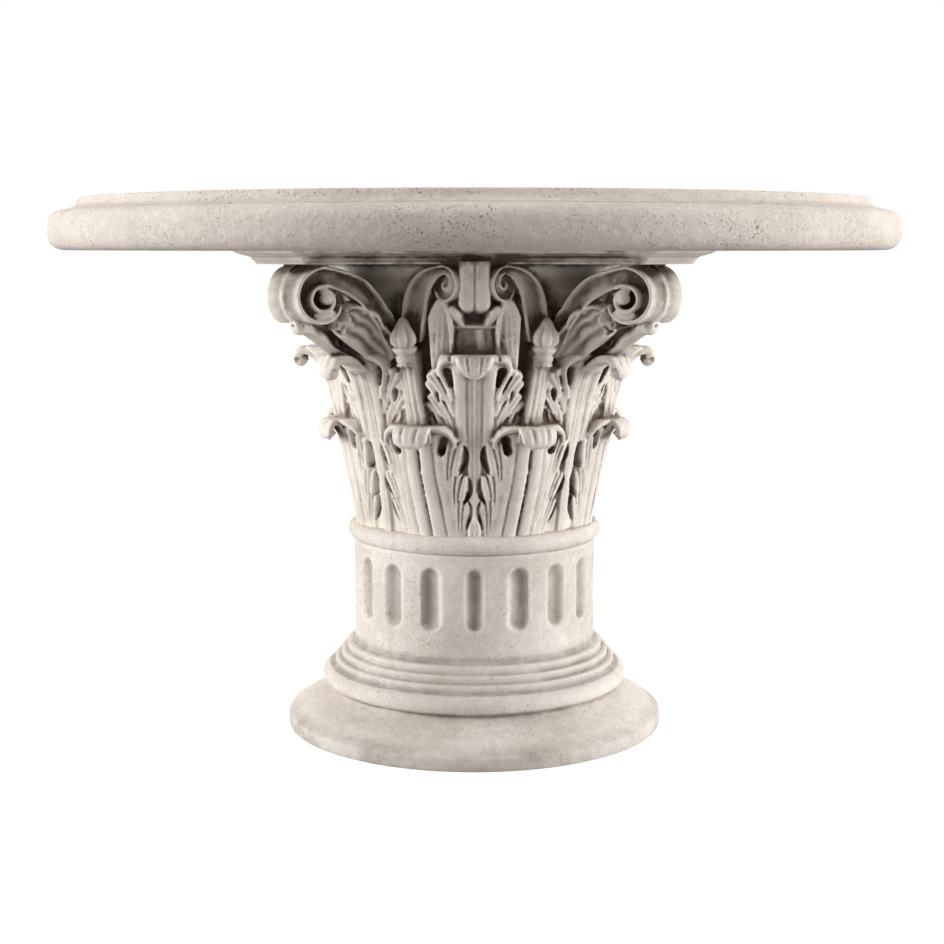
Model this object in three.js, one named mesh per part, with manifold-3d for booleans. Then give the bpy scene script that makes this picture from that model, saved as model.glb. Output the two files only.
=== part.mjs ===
// A round pedestal table in cast stone: a moulded slab that rests on a Corinthian capital.
// The capital, its fluted drum and its moulded foot are one casting.
// Millimetres, +Z up, origin on the floor at the centre of the foot. A flat of the abacus faces -Y.
import * as THREE from "three";
import { mergeVertices } from "three/addons/utils/BufferGeometryUtils.js";
import Module from "manifold-3d";

const wasm = await Module();
wasm.setup();

// ---- driving dimensions ----
const TABLE_HEIGHT = 762;
const SLAB_THICKNESS = 70;
const SLAB_RADIUS = 597;
const FOOT_RADIUS = 275;
const DRUM_RADIUS = 176.5;
const ABACUS_THICKNESS = 22;
const CAPITAL_BASE = 276; // underside of the astragal ring
const ASTRAGAL_HALF_HEIGHT = 13;

const BEARING = TABLE_HEIGHT - SLAB_THICKNESS; // top of the abacus, underside of the slab
const ABACUS_BASE = BEARING - ABACUS_THICKNESS;
const LEAF_BASE = CAPITAL_BASE + 2 * ASTRAGAL_HALF_HEIGHT - 4;

const AROUND = 32; // facets round the pedestal
const BELL_AROUND = 16;
const SLAB_AROUND = 48;
const SLIVER = 4.5; // shortest edge worth keeping
const SIDES = 4;
const QUARTER = Math.PI / 2;
const SIXTH = Math.PI / 3;

const STONE = new THREE.MeshStandardMaterial({ color: 0xd6cdc0, roughness: 0.86, metalness: 0 });
const SLAB_STONE = new THREE.MeshStandardMaterial({ color: 0xdad2c6, roughness: 0.82, metalness: 0 });

// ---- solids ----

// A closed geometry as a solid that can be joined and cut.
function solidOf(geometry) {
  const bare = geometry.clone();
  bare.deleteAttribute("normal");
  bare.deleteAttribute("uv");
  const merged = mergeVertices(bare, 1e-4);
  return new wasm.Manifold(
    new wasm.Mesh({
      numProp: 3,
      vertProperties: new Float32Array(merged.attributes.position.array),
      triVerts: new Uint32Array(merged.index.array),
    }),
  );
}

// A joined solid back as a geometry.
function geometryOf(solid) {
  const mesh = solid.getMesh();
  const geometry = new THREE.BufferGeometry();
  geometry.setAttribute("position", new THREE.BufferAttribute(new Float32Array(mesh.vertProperties), 3));
  geometry.setIndex(new THREE.BufferAttribute(new Uint32Array(mesh.triVerts), 1));
  geometry.computeVertexNormals();
  return geometry;
}

function unite(solids) {
  return wasm.Manifold.union(solids);
}

// The casting itself, without the specks of trapped air that close joins can leave inside it.
function mainBody(solid) {
  const bodies = solid.decompose();
  return bodies.reduce((largest, body) => (body.volume() > largest.volume() ? body : largest));
}

// A profile of [radius, height] pairs turned about +Z. The profile starts and ends on the axis.
function turned(profile, segments) {
  const points = profile.map(([radius, height]) => new THREE.Vector2(radius, height));
  return new THREE.LatheGeometry(points, segments).rotateX(QUARTER);
}

// A closed skin over rings of points: every ring has the same count, and each end is closed by a fan.
function skinned(rings) {
  const count = rings[0].length;
  const positions = rings.flat().flatMap((p) => [p.x, p.y, p.z]);
  const indices = [];
  for (let row = 0; row < rings.length - 1; row++) {
    for (let i = 0; i < count; i++) {
      const a = row * count + i;
      const b = row * count + ((i + 1) % count);
      indices.push(a, b, a + count, b, b + count, a + count);
    }
  }
  [0, rings.length - 1].forEach((row, end) => {
    const centre = new THREE.Vector3();
    rings[row].forEach((p) => centre.addScaledVector(p, 1 / count));
    const hub = positions.length / 3;
    positions.push(centre.x, centre.y, centre.z);
    for (let i = 0; i < count; i++) {
      const a = row * count + i;
      const b = row * count + ((i + 1) % count);
      if (end) indices.push(a, b, hub);
      else indices.push(b, a, hub);
    }
  });
  const geometry = new THREE.BufferGeometry();
  geometry.setAttribute("position", new THREE.Float32BufferAttribute(positions, 3));
  geometry.setIndex(indices);
  return geometry;
}

// The skin as a solid, whichever way round its rings were listed.
function skinSolid(rings) {
  const solid = solidOf(skinned(rings));
  return solid.volume() > 0 ? solid : solidOf(skinned(rings.map((ring) => [...ring].reverse())));
}

// Points of an arc in a profile, from one angle to another in degrees.
function arc(centreR, centreZ, radiusR, radiusZ, from, to, steps) {
  return Array.from({ length: steps + 1 }, (_, i) => {
    const angle = THREE.MathUtils.degToRad(from + ((to - from) * i) / steps);
    return [centreR + radiusR * Math.cos(angle), centreZ + radiusZ * Math.sin(angle)];
  });
}

// Copies of a solid turned to each of the four sides.
function onEachSide(solid, turn = 0) {
  return Array.from({ length: SIDES }, (_, side) => solid.rotate([0, 0, turn + side * 90]));
}

// A solid and its mirror image across the middle of a side.
function bothHands(solid) {
  return [solid, solid.mirror([1, 0, 0])];
}

// ---- foot, drum and ring ----

function footProfile() {
  return [
    [0, 0],
    [FOOT_RADIUS, 0],
    [FOOT_RADIUS, 20],
    [FOOT_RADIUS - 21, 33],
    [FOOT_RADIUS - 47, 46],
    [FOOT_RADIUS - 64, 58],
  ];
}

function drumAndRingProfile() {
  const ringCentre = CAPITAL_BASE + ASTRAGAL_HALF_HEIGHT;
  return [
    ...arc(208, 74, 16, 14, -40, 60, 3),
    [206, 91],
    [206, 99],
    [197, 101],
    [197, 110],
    [188, 112],
    [188, 121],
    [DRUM_RADIUS, 126],
    [DRUM_RADIUS, CAPITAL_BASE],
    ...arc(DRUM_RADIUS, ringCentre, 12.5, ASTRAGAL_HALF_HEIGHT, -55, 55, 3),
    [0, ringCentre + ASTRAGAL_HALF_HEIGHT],
  ];
}

// The bell that the leaves stand on. It opens towards the abacus.
function bellProfile() {
  return [
    [0, CAPITAL_BASE],
    [168, CAPITAL_BASE],
    [191, 480],
    [206, 560],
    [224, ABACUS_BASE + 2],
    [0, ABACUS_BASE + 2],
  ];
}

const FLUTES = 18;
const FLUTE = { radius: 14, low: 171, high: 253, depth: 8 };

// One flute cutter: an upright round-ended bar that bites into the drum.
function fluteCutter() {
  const profile = [
    [0, FLUTE.low],
    [FLUTE.radius, FLUTE.low + 9],
    [FLUTE.radius, FLUTE.high - 9],
    [0, FLUTE.high],
  ];
  return solidOf(turned(profile, 6)).translate([0, -(DRUM_RADIUS + FLUTE.radius - FLUTE.depth), 0]);
}

function columnSolid() {
  const body = solidOf(turned([...footProfile(), ...drumAndRingProfile()], AROUND));
  const bell = solidOf(turned(bellProfile(), BELL_AROUND));
  const cutter = fluteCutter();
  const cutters = Array.from({ length: FLUTES }, (_, i) => cutter.rotate([0, 0, (360 * i) / FLUTES]));
  return body.subtract(unite(cutters)).add(bell);
}

// ---- acanthus leaves ----

// The rows of a leaf run from its foot to its curled tip. Each row is [radius, height, half width,
// body behind the face, how far its edges fall back]. Wide rows are lobes, narrow rows the gaps.
const LOWER_LEAF = {
  rib: 5,
  rows: [
    [176, LEAF_BASE, 46, 24, 0],
    [181, 322, 60, 26, 0],
    [182, 332, 44, 28, 0],
    [189, 358, 64, 30, 0],
    [190, 370, 46, 32, 0],
    [200, 398, 66, 36, 0],
    [200, 410, 46, 38, 0],
    [206, 442, 46, 32, 4],
    [216, 456, 44, 18, 8],
    [220, 443, 38, 15, 10],
    [218, 430, 22, 11, 4],
  ],
};

const UPPER_LEAF = {
  rib: 5,
  rows: [
    [174, LEAF_BASE, 8, 20, 0],
    [193, 416, 11, 30, 0],
    [200, 440, 62, 34, 0],
    [201, 456, 46, 34, 0],
    [211, 484, 66, 36, 2],
    [213, 496, 50, 36, 2],
    [226, 530, 66, 38, 6],
    [245, 553, 54, 20, 12],
    [257, 543, 38, 15, 10],
    [255, 526, 20, 13, 4],
  ],
};

// A broad leaf that carries the two volutes of a corner.
const CORNER_LEAF = {
  rib: 2,
  rows: [
    [214, 540, 26, 30, 0],
    [258, 570, 32, 44, 2],
    [296, 592, 32, 36, 4],
    [314, 581, 24, 16, 2],
  ],
};

// A point of a leaf: d across it, h above its face, on a row that faces the way of normal.
function leafPoint(row, normal, d, h) {
  const [r, z, half, , fall] = row;
  const back = fall * (d / half) ** 2;
  const radius = r + normal.x * h - back;
  const angle = d / r;
  return new THREE.Vector3(
    radius * Math.sin(angle),
    -radius * Math.cos(angle),
    z + normal.y * h - back * 0.6,
  );
}

function leafSolid(leaf) {
  const last = leaf.rows.length - 1;
  const rings = leaf.rows.map((row, i) => {
    const before = leaf.rows[Math.max(i - 1, 0)];
    const after = leaf.rows[Math.min(i + 1, last)];
    const normal = new THREE.Vector2(after[1] - before[1], before[0] - after[0]).normalize();
    const [, , half, body] = row;
    const at = (d, h) => leafPoint(row, normal, d, h);
    return [
      at(-half, -2),
      at(-half * 0.45, leaf.rib),
      at(0, 0),
      at(half * 0.45, leaf.rib),
      at(half, -2),
      at(0, -body),
    ];
  });
  return skinSolid(rings);
}

function leafTiers() {
  const lower = leafSolid(LOWER_LEAF);
  const upper = leafSolid(UPPER_LEAF);
  return [
    ...onEachSide(lower, 22.5),
    ...onEachSide(lower, 67.5),
    ...onEachSide(upper, 0),
    ...onEachSide(upper, 45),
    ...onEachSide(leafSolid(CORNER_LEAF), 45),
  ];
}

// ---- cauliculi ----

// A reeded stalk with a ring, a calyx and a bud, leaning out over the lower leaf.
function cauliculus() {
  const profile = [
    [0, 0],
    [11, 0],
    [12, 96],
    [17, 102],
    [12, 110],
    [18, 134],
    [0, 164],
  ];
  const foot = new THREE.Vector3(-72, -194, 444);
  const head = new THREE.Vector3(-95, -208, 606);
  const lean = new THREE.Quaternion().setFromUnitVectors(
    new THREE.Vector3(0, 0, 1),
    head.clone().sub(foot).normalize(),
  );
  return solidOf(turned(profile, 6).applyQuaternion(lean).translate(foot.x, foot.y, foot.z));
}

// ---- volutes and helices ----

// The upright plane that a scroll lies in: its eye, the way it reaches, and the way it faces.
class ScrollPlane {
  constructor(eye, reachAngle, faceSign) {
    this.eye = eye;
    this.reach = new THREE.Vector3(Math.cos(reachAngle), Math.sin(reachAngle), 0);
    this.face = new THREE.Vector3(-this.reach.y, this.reach.x, 0).multiplyScalar(faceSign);
  }
  at(s, z, n) {
    return this.eye
      .clone()
      .addScaledVector(this.reach, s)
      .addScaledVector(this.face, n)
      .add(new THREE.Vector3(0, 0, z));
  }
}

// The line of a ribbon: a stem that rises to the top of the scroll, then the spiral down to the eye.
// Each step holds the outer and the inner edge, in the scroll's plane.
function ribbonEdges(scroll) {
  const edges = scroll.stem.map(([s, z, half, tilt]) => {
    const across = [Math.cos(tilt), Math.sin(tilt)];
    return [
      [s - across[0] * half, z + across[1] * half],
      [s + across[0] * half, z - across[1] * half],
    ];
  });
  for (let i = 0; i <= scroll.steps; i++) {
    const turn = (i / scroll.steps) * scroll.turns * 2 * Math.PI;
    const outer = scroll.radius * Math.exp(-scroll.tighten * turn);
    const inner = outer * THREE.MathUtils.lerp(scroll.core[0], scroll.core[1], i / scroll.steps);
    const way = [Math.sin(turn), Math.cos(turn)].map((v) => Math.sign(v) * Math.abs(v) ** scroll.round);
    edges.push([
      [way[0] * outer, way[1] * outer],
      [way[0] * inner, way[1] * inner],
    ]);
  }
  return edges;
}

// A ribbon with raised edges; its middle is sunk where the scroll says so.
function ribbonSolid(plane, scroll) {
  const rings = ribbonEdges(scroll).map(([outer, inner], step, all) => {
    const middle = [(outer[0] + inner[0]) / 2, (outer[1] + inner[1]) / 2];
    const rise = (scroll.proud * step) / (all.length - 1);
    return [
      plane.at(...outer, -scroll.depth),
      plane.at(...outer, rise),
      ...(scroll.sunk ? [plane.at(...middle, rise - scroll.sunk)] : []),
      plane.at(...inner, rise),
      plane.at(...inner, -scroll.depth),
    ];
  });
  return skinSolid(rings);
}

function scrollEye(plane, radius, depth, proud) {
  const rings = [
    [radius, -depth],
    [radius, proud],
  ].map(([r, n]) =>
    Array.from({ length: 6 }, (_, i) => plane.at(r * Math.cos(i * SIXTH), r * Math.sin(i * SIXTH), n)),
  );
  return skinSolid(rings);
}

const VOLUTE = {
  stem: [
    [-101, -38, 13, 0.35],
    [-88, -15, 15, 0.6],
    [-70, 3, 15, 0.85],
    [-48, 15, 15, 1.1],
    [-22, 25, 15, 1.35],
  ],
  radius: 43,
  tighten: 0.08,
  core: [0.5, 0.35],
  round: 0.75,
  turns: 0.88,
  steps: 8,
  depth: 34,
  sunk: 8,
  proud: 2,
};

const HELIX = {
  stem: [
    [-58, -40, 15, 0.1],
    [-52, -14, 15, 0.3],
    [-40, 6, 14, 0.7],
    [-20, 15, 12, 1.1],
  ],
  radius: 27,
  tighten: 0.1,
  core: [0.25, 0.1],
  round: 1,
  turns: 0.9,
  steps: 7,
  depth: 24,
  sunk: 0,
  proud: 2,
};

function volute() {
  const plane = new ScrollPlane(new THREE.Vector3(-192, -254, 629), Math.PI + 0.51, 1);
  return unite([ribbonSolid(plane, VOLUTE), scrollEye(plane, 12, VOLUTE.depth, 2)]);
}

function helix() {
  const plane = new ScrollPlane(new THREE.Vector3(-40, -236, 645), -0.73, -1);
  return ribbonSolid(plane, HELIX);
}

// ---- abacus ----

const ABACUS = { cutNear: 217, cutFar: 289, hollow: 62, flare: 28 };

// The plan outline, moved outwards by grow: four hollow sides between cut corners.
function abacusOutline(grow) {
  const near = ABACUS.cutNear + grow * 0.414;
  const far = ABACUS.cutFar + grow;
  const steps = 6;
  const points = [];
  for (let side = 0; side < SIDES; side++) {
    for (let i = 0; i <= steps; i++) {
      const x = THREE.MathUtils.lerp(-near, near, i / steps);
      const y = -far + ABACUS.hollow * (1 - (x / near) ** 2);
      const turn = side * QUARTER;
      points.push(
        new THREE.Vector2(x * Math.cos(turn) - y * Math.sin(turn), x * Math.sin(turn) + y * Math.cos(turn)),
      );
    }
  }
  return points;
}

function abacusSolid() {
  const levels = [
    [ABACUS_BASE, 0],
    [ABACUS_BASE + 5, 3],
    [ABACUS_BASE + 9, 18],
    [BEARING, ABACUS.flare],
  ];
  return skinSolid(
    levels.map(([z, grow]) => abacusOutline(grow).map((p) => new THREE.Vector3(p.x, p.y, z))),
  );
}

// ---- the two pieces ----

function pedestalGeometry() {
  const ornaments = [cauliculus(), volute(), helix()].flatMap((solid) =>
    bothHands(solid).flatMap((hand) => onEachSide(hand)),
  );
  const whole = unite([columnSolid(), abacusSolid(), ...leafTiers(), ...ornaments]);
  return geometryOf(mainBody(whole.simplify(SLIVER)));
}

function slabGeometry() {
  const middle = BEARING + 27;
  const edge = [];
  const steps = 6;
  for (let i = 0; i <= steps; i++) {
    const angle = THREE.MathUtils.degToRad(-90 + (178 * i) / steps);
    const round = (value) => Math.sign(value) * Math.abs(value) ** 0.8;
    edge.push([SLAB_RADIUS - 27 + 27 * round(Math.cos(angle)), middle + 27 * round(Math.sin(angle))]);
  }
  const profile = [
    [0, BEARING],
    ...edge,
    [SLAB_RADIUS - 31, BEARING + 55],
    [SLAB_RADIUS - 41, BEARING + 64],
    [SLAB_RADIUS - 43, TABLE_HEIGHT],
    [0, TABLE_HEIGHT],
  ];
  return turned(profile, SLAB_AROUND);
}

function namedMesh(name, geometry, material) {
  const mesh = new THREE.Mesh(geometry, material);
  mesh.name = name;
  return mesh;
}

const table = new THREE.Group();
table.add(namedMesh("pedestal", pedestalGeometry(), STONE));
table.add(namedMesh("table_top", slabGeometry(), SLAB_STONE));

export default table;
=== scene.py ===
"""A round stone table: a moulded slab on a pedestal that is a Corinthian capital on a fluted drum and a round foot.

The capital's leaves and stalks are carved as a relief over the bell. What stands clear of the bell, such as the
curled leaf tips, volutes, helices and the abacus, is modelled as closed shells. One eighth of the ring is made,
and a geometry-node tree mirrors it and turns it round the four sides. Everything is then fused into one casting.
Sizes are in millimetres until a mesh is made, and metres after that.
"""
import math

import bpy
import numpy as np
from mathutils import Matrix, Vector
from mathutils.bvhtree import BVHTree


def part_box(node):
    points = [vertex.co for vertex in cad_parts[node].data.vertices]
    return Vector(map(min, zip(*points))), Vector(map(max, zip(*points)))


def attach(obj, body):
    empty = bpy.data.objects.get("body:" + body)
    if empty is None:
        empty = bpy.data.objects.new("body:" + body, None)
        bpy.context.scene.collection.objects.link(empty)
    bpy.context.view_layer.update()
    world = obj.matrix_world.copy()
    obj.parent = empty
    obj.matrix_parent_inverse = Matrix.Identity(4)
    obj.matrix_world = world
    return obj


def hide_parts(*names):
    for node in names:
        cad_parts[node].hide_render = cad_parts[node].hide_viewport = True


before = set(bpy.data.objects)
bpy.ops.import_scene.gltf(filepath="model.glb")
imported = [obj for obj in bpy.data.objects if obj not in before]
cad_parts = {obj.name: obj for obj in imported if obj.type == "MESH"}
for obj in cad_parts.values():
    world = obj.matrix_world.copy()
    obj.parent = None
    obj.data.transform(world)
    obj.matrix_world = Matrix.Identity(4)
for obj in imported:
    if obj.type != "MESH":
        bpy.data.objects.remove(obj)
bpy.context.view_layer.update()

SEED = 7

# ---- driving sizes, from the frame where it has them ----
SLAB_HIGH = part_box("table_top")[1] * 1000
ABACUS_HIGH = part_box("pedestal")[1] * 1000
TABLE_HEIGHT = SLAB_HIGH.z
BEARING = ABACUS_HIGH.z  # where the slab rests on the abacus
ABACUS_FOOT = BEARING - 18.0
FOOT_RADIUS = 275.0
DRUM_RADIUS = 176.5
RING_CENTRE = 289.0  # height of the astragal ring's centre
RING_HALF = 13.0
SIDES = 4
OCTANT = 180.0 / SIDES  # degrees from the middle of a side to a corner
LOWER_AXIS = OCTANT / 2  # where a leaf of the lower tier stands
BELL_FOOT, BELL_TOP = 292, 678
LOWER_LEAF_TOP, UPPER_LEAF_TOP = 457, 554

FLUTES = 18
FLUTE_MIDDLE = 212
FLUTE_STRAIGHT = 31.0  # half the height of a flute between its round ends
FLUTE_HALF_WIDTH = 14.2
FLUTE_DEPTH = 8.2

# ---- how finely the pieces are made ----
VOXEL = 1.3
CAPITAL_TRIANGLES = 168000
DRUM_SIDES = 320
SLAB_SIDES = 256
CAPITAL_RAYS = 18
DRUM_RAYS = 12


# ---- small helpers ----


def ease(value, low, high):
    """0 below low, 1 above high, and a smooth rise between."""
    t = np.clip((value - low) / (high - low), 0.0, 1.0)
    return t * t * (3 - 2 * t)


def dome(share):
    """A half-round section: 1 in the middle of a band and 0 at its edge."""
    return np.sqrt(np.clip(1 - share * share, 0, 1))


def table(pairs):
    """A smooth curve through [at, value] pairs, as a function."""
    at, value = np.array(pairs, float).T
    slope = np.gradient(value, at)

    def curve(x):
        x = np.clip(x, at[0], at[-1])
        i = np.clip(np.searchsorted(at, x) - 1, 0, len(at) - 2)
        span = at[i + 1] - at[i]
        t = (x - at[i]) / span
        a, b = value[i], value[i + 1]
        return (
            a * (1 + 2 * t) * (1 - t) ** 2
            + b * t * t * (3 - 2 * t)
            + span * (slope[i] * t * (1 - t) ** 2 - slope[i + 1] * t * t * (1 - t))
        )

    return curve


def spline(points, count):
    """Points evenly spaced in parameter on a smooth curve through the given ones."""
    points = np.array(points, float)
    at = np.linspace(0, 1, len(points))
    where = np.linspace(0, 1, count)
    return np.stack([table(np.stack([at, points[:, k]], 1))(where) for k in range(points.shape[1])], 1)


def bend(start, pull, end, count=9):
    """A curve from start to end, drawn towards pull."""
    t = np.linspace(0, 1, count)[:, None]
    start, pull, end = (np.array(p, float) for p in (start, pull, end))
    return (1 - t) ** 2 * start + 2 * t * (1 - t) * pull + t * t * end


def points_of(mesh):
    """The mesh's points, one to a row."""
    at = np.empty(len(mesh.vertices) * 3, np.float32)
    mesh.vertices.foreach_get("co", at)
    return at.reshape(-1, 3)


def gathered(pieces):
    """The points and the triangles of several pieces, as two arrays."""
    points, triangles, count = [], [], 0
    for piece in pieces:
        mesh = piece.data
        mesh.calc_loop_triangles()
        corners = np.empty(len(mesh.loop_triangles) * 3, np.int32)
        mesh.loop_triangles.foreach_get("vertices", corners)
        points.append(points_of(mesh))
        triangles.append(corners.reshape(-1, 3) + count)
        count += len(mesh.vertices)
    return np.concatenate(points), np.concatenate(triangles)


def mesh_object(name, verts, triangles):
    """A mesh object from points in metres and an array of triangles."""
    mesh = bpy.data.meshes.new(name)
    triangles = np.ascontiguousarray(triangles, np.int32)
    mesh.vertices.add(len(verts))
    mesh.vertices.foreach_set("co", np.asarray(verts, np.float32).ravel())
    mesh.loops.add(triangles.size)
    mesh.loops.foreach_set("vertex_index", triangles.ravel())
    mesh.polygons.add(len(triangles))
    mesh.polygons.foreach_set("loop_start", np.arange(0, triangles.size, 3, dtype=np.int32))
    mesh.update(calc_edges=True)
    mesh.validate()
    made = bpy.data.objects.new(name, mesh)
    bpy.context.scene.collection.objects.link(made)
    return made


class Shells:
    """Closed shells gathered into one mesh."""

    def __init__(self):
        self.verts, self.faces, self.count = [], [], 0

    def skin(self, rings):
        """A closed skin over rings of points, each with the same count, and fans over its two ends."""
        rings = np.asarray(rings, float)
        rows, columns = rings.shape[:2]
        verts = np.concatenate([rings.reshape(-1, 3), rings[:1].mean(1), rings[-1:].mean(1)])
        r, c = np.arange(rows - 1)[:, None], np.arange(columns)[None, :]
        n = (c + 1) % columns
        a, b, d, e = r * columns + c, r * columns + n, (r + 1) * columns + n, (r + 1) * columns + c
        walls = [np.stack(np.broadcast_arrays(*three), -1).reshape(-1, 3) for three in ((a, b, d), (a, d, e))]
        c, n, last = c[0], n[0], (rows - 1) * columns
        low = np.stack([np.full(columns, rows * columns), n, c], 1)
        high = np.stack([np.full(columns, rows * columns + 1), last + c, last + n], 1)
        faces = np.concatenate([*walls, low, high])
        corner = verts[faces]
        if np.einsum("ij,ij->", corner[:, 0], np.cross(corner[:, 1], corner[:, 2])) < 0:
            faces = faces[:, ::-1]
        self.faces.append(faces + self.count)
        self.verts.append(verts)
        self.count += len(verts)

    def object(self, name):
        return mesh_object(name, np.concatenate(self.verts) * 0.001, np.concatenate(self.faces))


def feed(tree, socket, value):
    """Links another node's output into a socket, or sets the socket to a number or a colour."""
    if isinstance(value, bpy.types.NodeSocket):
        tree.links.new(value, socket)
    else:
        socket.default_value = value


def node(tree, kind, inputs=None, **settings):
    """A new node with its settings made first, and then its inputs, which go by name or number."""
    made = tree.nodes.new(kind)
    for name, value in settings.items():
        setattr(made, name, value)
    for name, value in (inputs or {}).items():
        feed(tree, made.inputs[name], value)
    return made


def maths(tree, operation, a, b):
    return node(tree, "ShaderNodeMath", {0: a, 1: b}, operation=operation).outputs[0]


# ---- the relief over the bell ----

# [height, radius] of the bell, and of the faces of the two tiers of leaves
BELL = table(
    [[288, 160], [302, 162], [400, 172], [460, 178], [520, 187], [580, 196], [620, 204], [650, 214]]
    + [[671, 227], [680, 227]]
)
LOWER_FACE = table(
    [[288, 171], [302, 173], [340, 181], [380, 190], [420, 199], [440, 206], [450, 212], [458, 219], [680, 219]]
)
UPPER_FACE = table(
    [[288, 170], [302, 172], [400, 187], [440, 197], [470, 204], [500, 212], [525, 222], [540, 230]]
    + [[552, 240], [560, 247], [680, 247]]
)

ANGLE_STEP = 0.30
HEIGHT_STEP = 1.0


class Relief:
    """Heights over the bell on one eighth of the ring, from the middle of a side (0) to a corner (45 degrees)."""

    def __init__(self):
        columns = int(round(OCTANT / ANGLE_STEP)) + 1
        rows = int(round((BELL_TOP - BELL_FOOT) / HEIGHT_STEP)) + 1
        self.heights = np.linspace(BELL_FOOT, BELL_TOP, rows)
        self.theta, self.z = np.meshgrid(np.linspace(0, OCTANT, columns), self.heights)
        self.radius = BELL(self.z)
        # millimetres across the surface in one degree
        self.reach = np.radians(1) * np.interp(self.z, [BELL_FOOT, 440, 560, BELL_TOP], [176, 200, 214, 232])

    def across(self, axis):
        """Distance across the surface from an upright line at the given angle."""
        return np.abs(self.theta - axis) * self.reach

    def share(self, x, path, width):
        """Distance from a path of [x, z] points as a share of its half width, and that half width there."""
        path = np.asarray(path, float)
        ends = np.atleast_1d(np.asarray(width, float))
        widths = np.interp(np.linspace(0, 1, len(path)), np.linspace(0, 1, len(ends)), ends)
        best = np.full(x.shape, 99.0)
        best_width = np.full(x.shape, widths[0])
        for a, b, wa, wb in zip(path[:-1], path[1:], widths[:-1], widths[1:]):
            d = b - a
            t = np.clip(((x - a[0]) * d[0] + (self.z - a[1]) * d[1]) / max(d @ d, 1e-9), 0, 1)
            w = wa + (wb - wa) * t
            s = np.hypot(x - a[0] - d[0] * t, self.z - a[1] - d[1] * t) / w
            closer = s < best
            best = np.where(closer, s, best)
            best_width = np.where(closer, w, best_width)
        return best, best_width

    def band(self, x, path, width, face, fall=4.0, rise=0.0, slope=3.2, only=None):
        """A rounded band that stands on a leaf's face. Past its edge it drops to what is behind."""
        share, w = self.share(x, path, width)
        top = face + rise - fall * (1 - dome(share)) - np.clip(share - 1, 0, None) * w * slope
        if only is not None:
            top = np.where(only, top, 0)
        self.radius = np.maximum(self.radius, top)

    def plate(self, x, edge, face, slope=3.0):
        """A leaf's body, out to an edge that varies with height."""
        past = np.clip(x - edge, 0, None)
        self.radius = np.maximum(self.radius, face - past * slope)

    def groove(self, x, path, width, depth):
        """A round-bottomed groove cut into whatever stands there."""
        self.radius = self.radius - depth * dome(self.share(x, path, width)[0])


def leaflets(relief, x, face, root, tips, width, rise, grooves):
    """A lobe of a leaf: leaflets that spring from one root, rise side by side and bend out to their tips."""
    root = np.array(root, float)
    lines = []
    for k, (s, z) in enumerate(tips):
        share = k / max(len(tips) - 1, 1)
        start = root + (share * 5.0, -share * 9.0)
        pull = (start[0] + (s - start[0]) * 0.30, start[1] + (z - start[1]) * 0.62)
        line = bend(start, pull, (s, z), 10)
        lines.append(line)
        relief.band(x, line, [width * 0.75, width, width * 1.12, width * 0.7], face, 2.4, rise - share * 0.8)
    for a, b in zip(lines[:-1], lines[1:]):
        relief.groove(x, (a[2:] + b[2:]) / 2, [1.2, 1.9, 2.2], grooves)


def lower_leaf(relief):
    """The leaf of the lower tier, half way between a side and a corner. Its two halves are alike."""
    behind = relief.radius.copy()
    z = relief.z
    lean = 3.2 * np.clip((400 - z) / 98, 0, 1) ** 1.3
    x = relief.across(LOWER_AXIS - lean)
    face = LOWER_FACE(z) - 4.5 * (x / 72) ** 2
    edge = np.interp(z, [288, 310, 344, 352, 378, 388, 428, 437, 448, 456], [38, 44, 49, 43, 53, 45, 51, 43, 30, 20])
    relief.plate(x, edge, face - 2)
    leaflets(relief, x, face, (34, 366), [(42, 431), (51, 437), (59, 430)], 5.6, 1.6, 3.2)
    leaflets(relief, x, face, (36, 328), [(44, 383), (53, 390), (61.5, 384)], 5.2, 1.2, 3.0)
    leaflets(relief, x, face, (36, 292), [(43, 348), (51, 355), (58, 350)], 4.8, 0.8, 2.8)
    # the teardrop eyes under each lobe
    for eye, width, depth in (
        ([(63, 430), (66, 420), (64.5, 408), (58, 396), (52, 388)], [1.2, 3.2, 3.8, 2.2, 0.8], 14),
        ([(65, 385), (67.5, 376), (65, 364), (58, 354), (52, 348)], [1.2, 3.0, 3.4, 2.2, 0.8], 12),
        ([(60, 352), (62.5, 343), (60, 331), (54, 320), (50, 312)], [1.0, 2.6, 3.0, 2.0, 0.8], 11),
    ):
        relief.groove(x, spline(eye, 14), width, depth)
    # stem bands beside the midrib, and the paired midrib with its incised line
    relief.band(x, [(27, 288), (28, 340), (26, 400), (25, 440)], [7.4, 7.4, 7.2, 6.4], face, 3.2, 1.4)
    relief.band(x, [(10, 288), (10, 360), (10, 452)], [9.4, 9.8, 9.2], face, 3.0, 3.4)
    relief.groove(x, [(0, 296), (0, 448)], 1.4, 6.0)
    # the turned-over edge beside the curl, and the hollow it frames
    rim = spline([(51, 429), (50, 436), (46, 444), (39, 449), (29, 452), (0, 453)], 16)
    relief.band(x, rim, [2.2, 2.6, 3.0, 3.6, 4.2], face, 2.0, 3.0)
    relief.groove(x, [(32, 422), (36, 437)], [6.2, 6.4], 18)
    relief.radius = np.where(z > LOWER_LEAF_TOP, behind, relief.radius)


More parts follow.
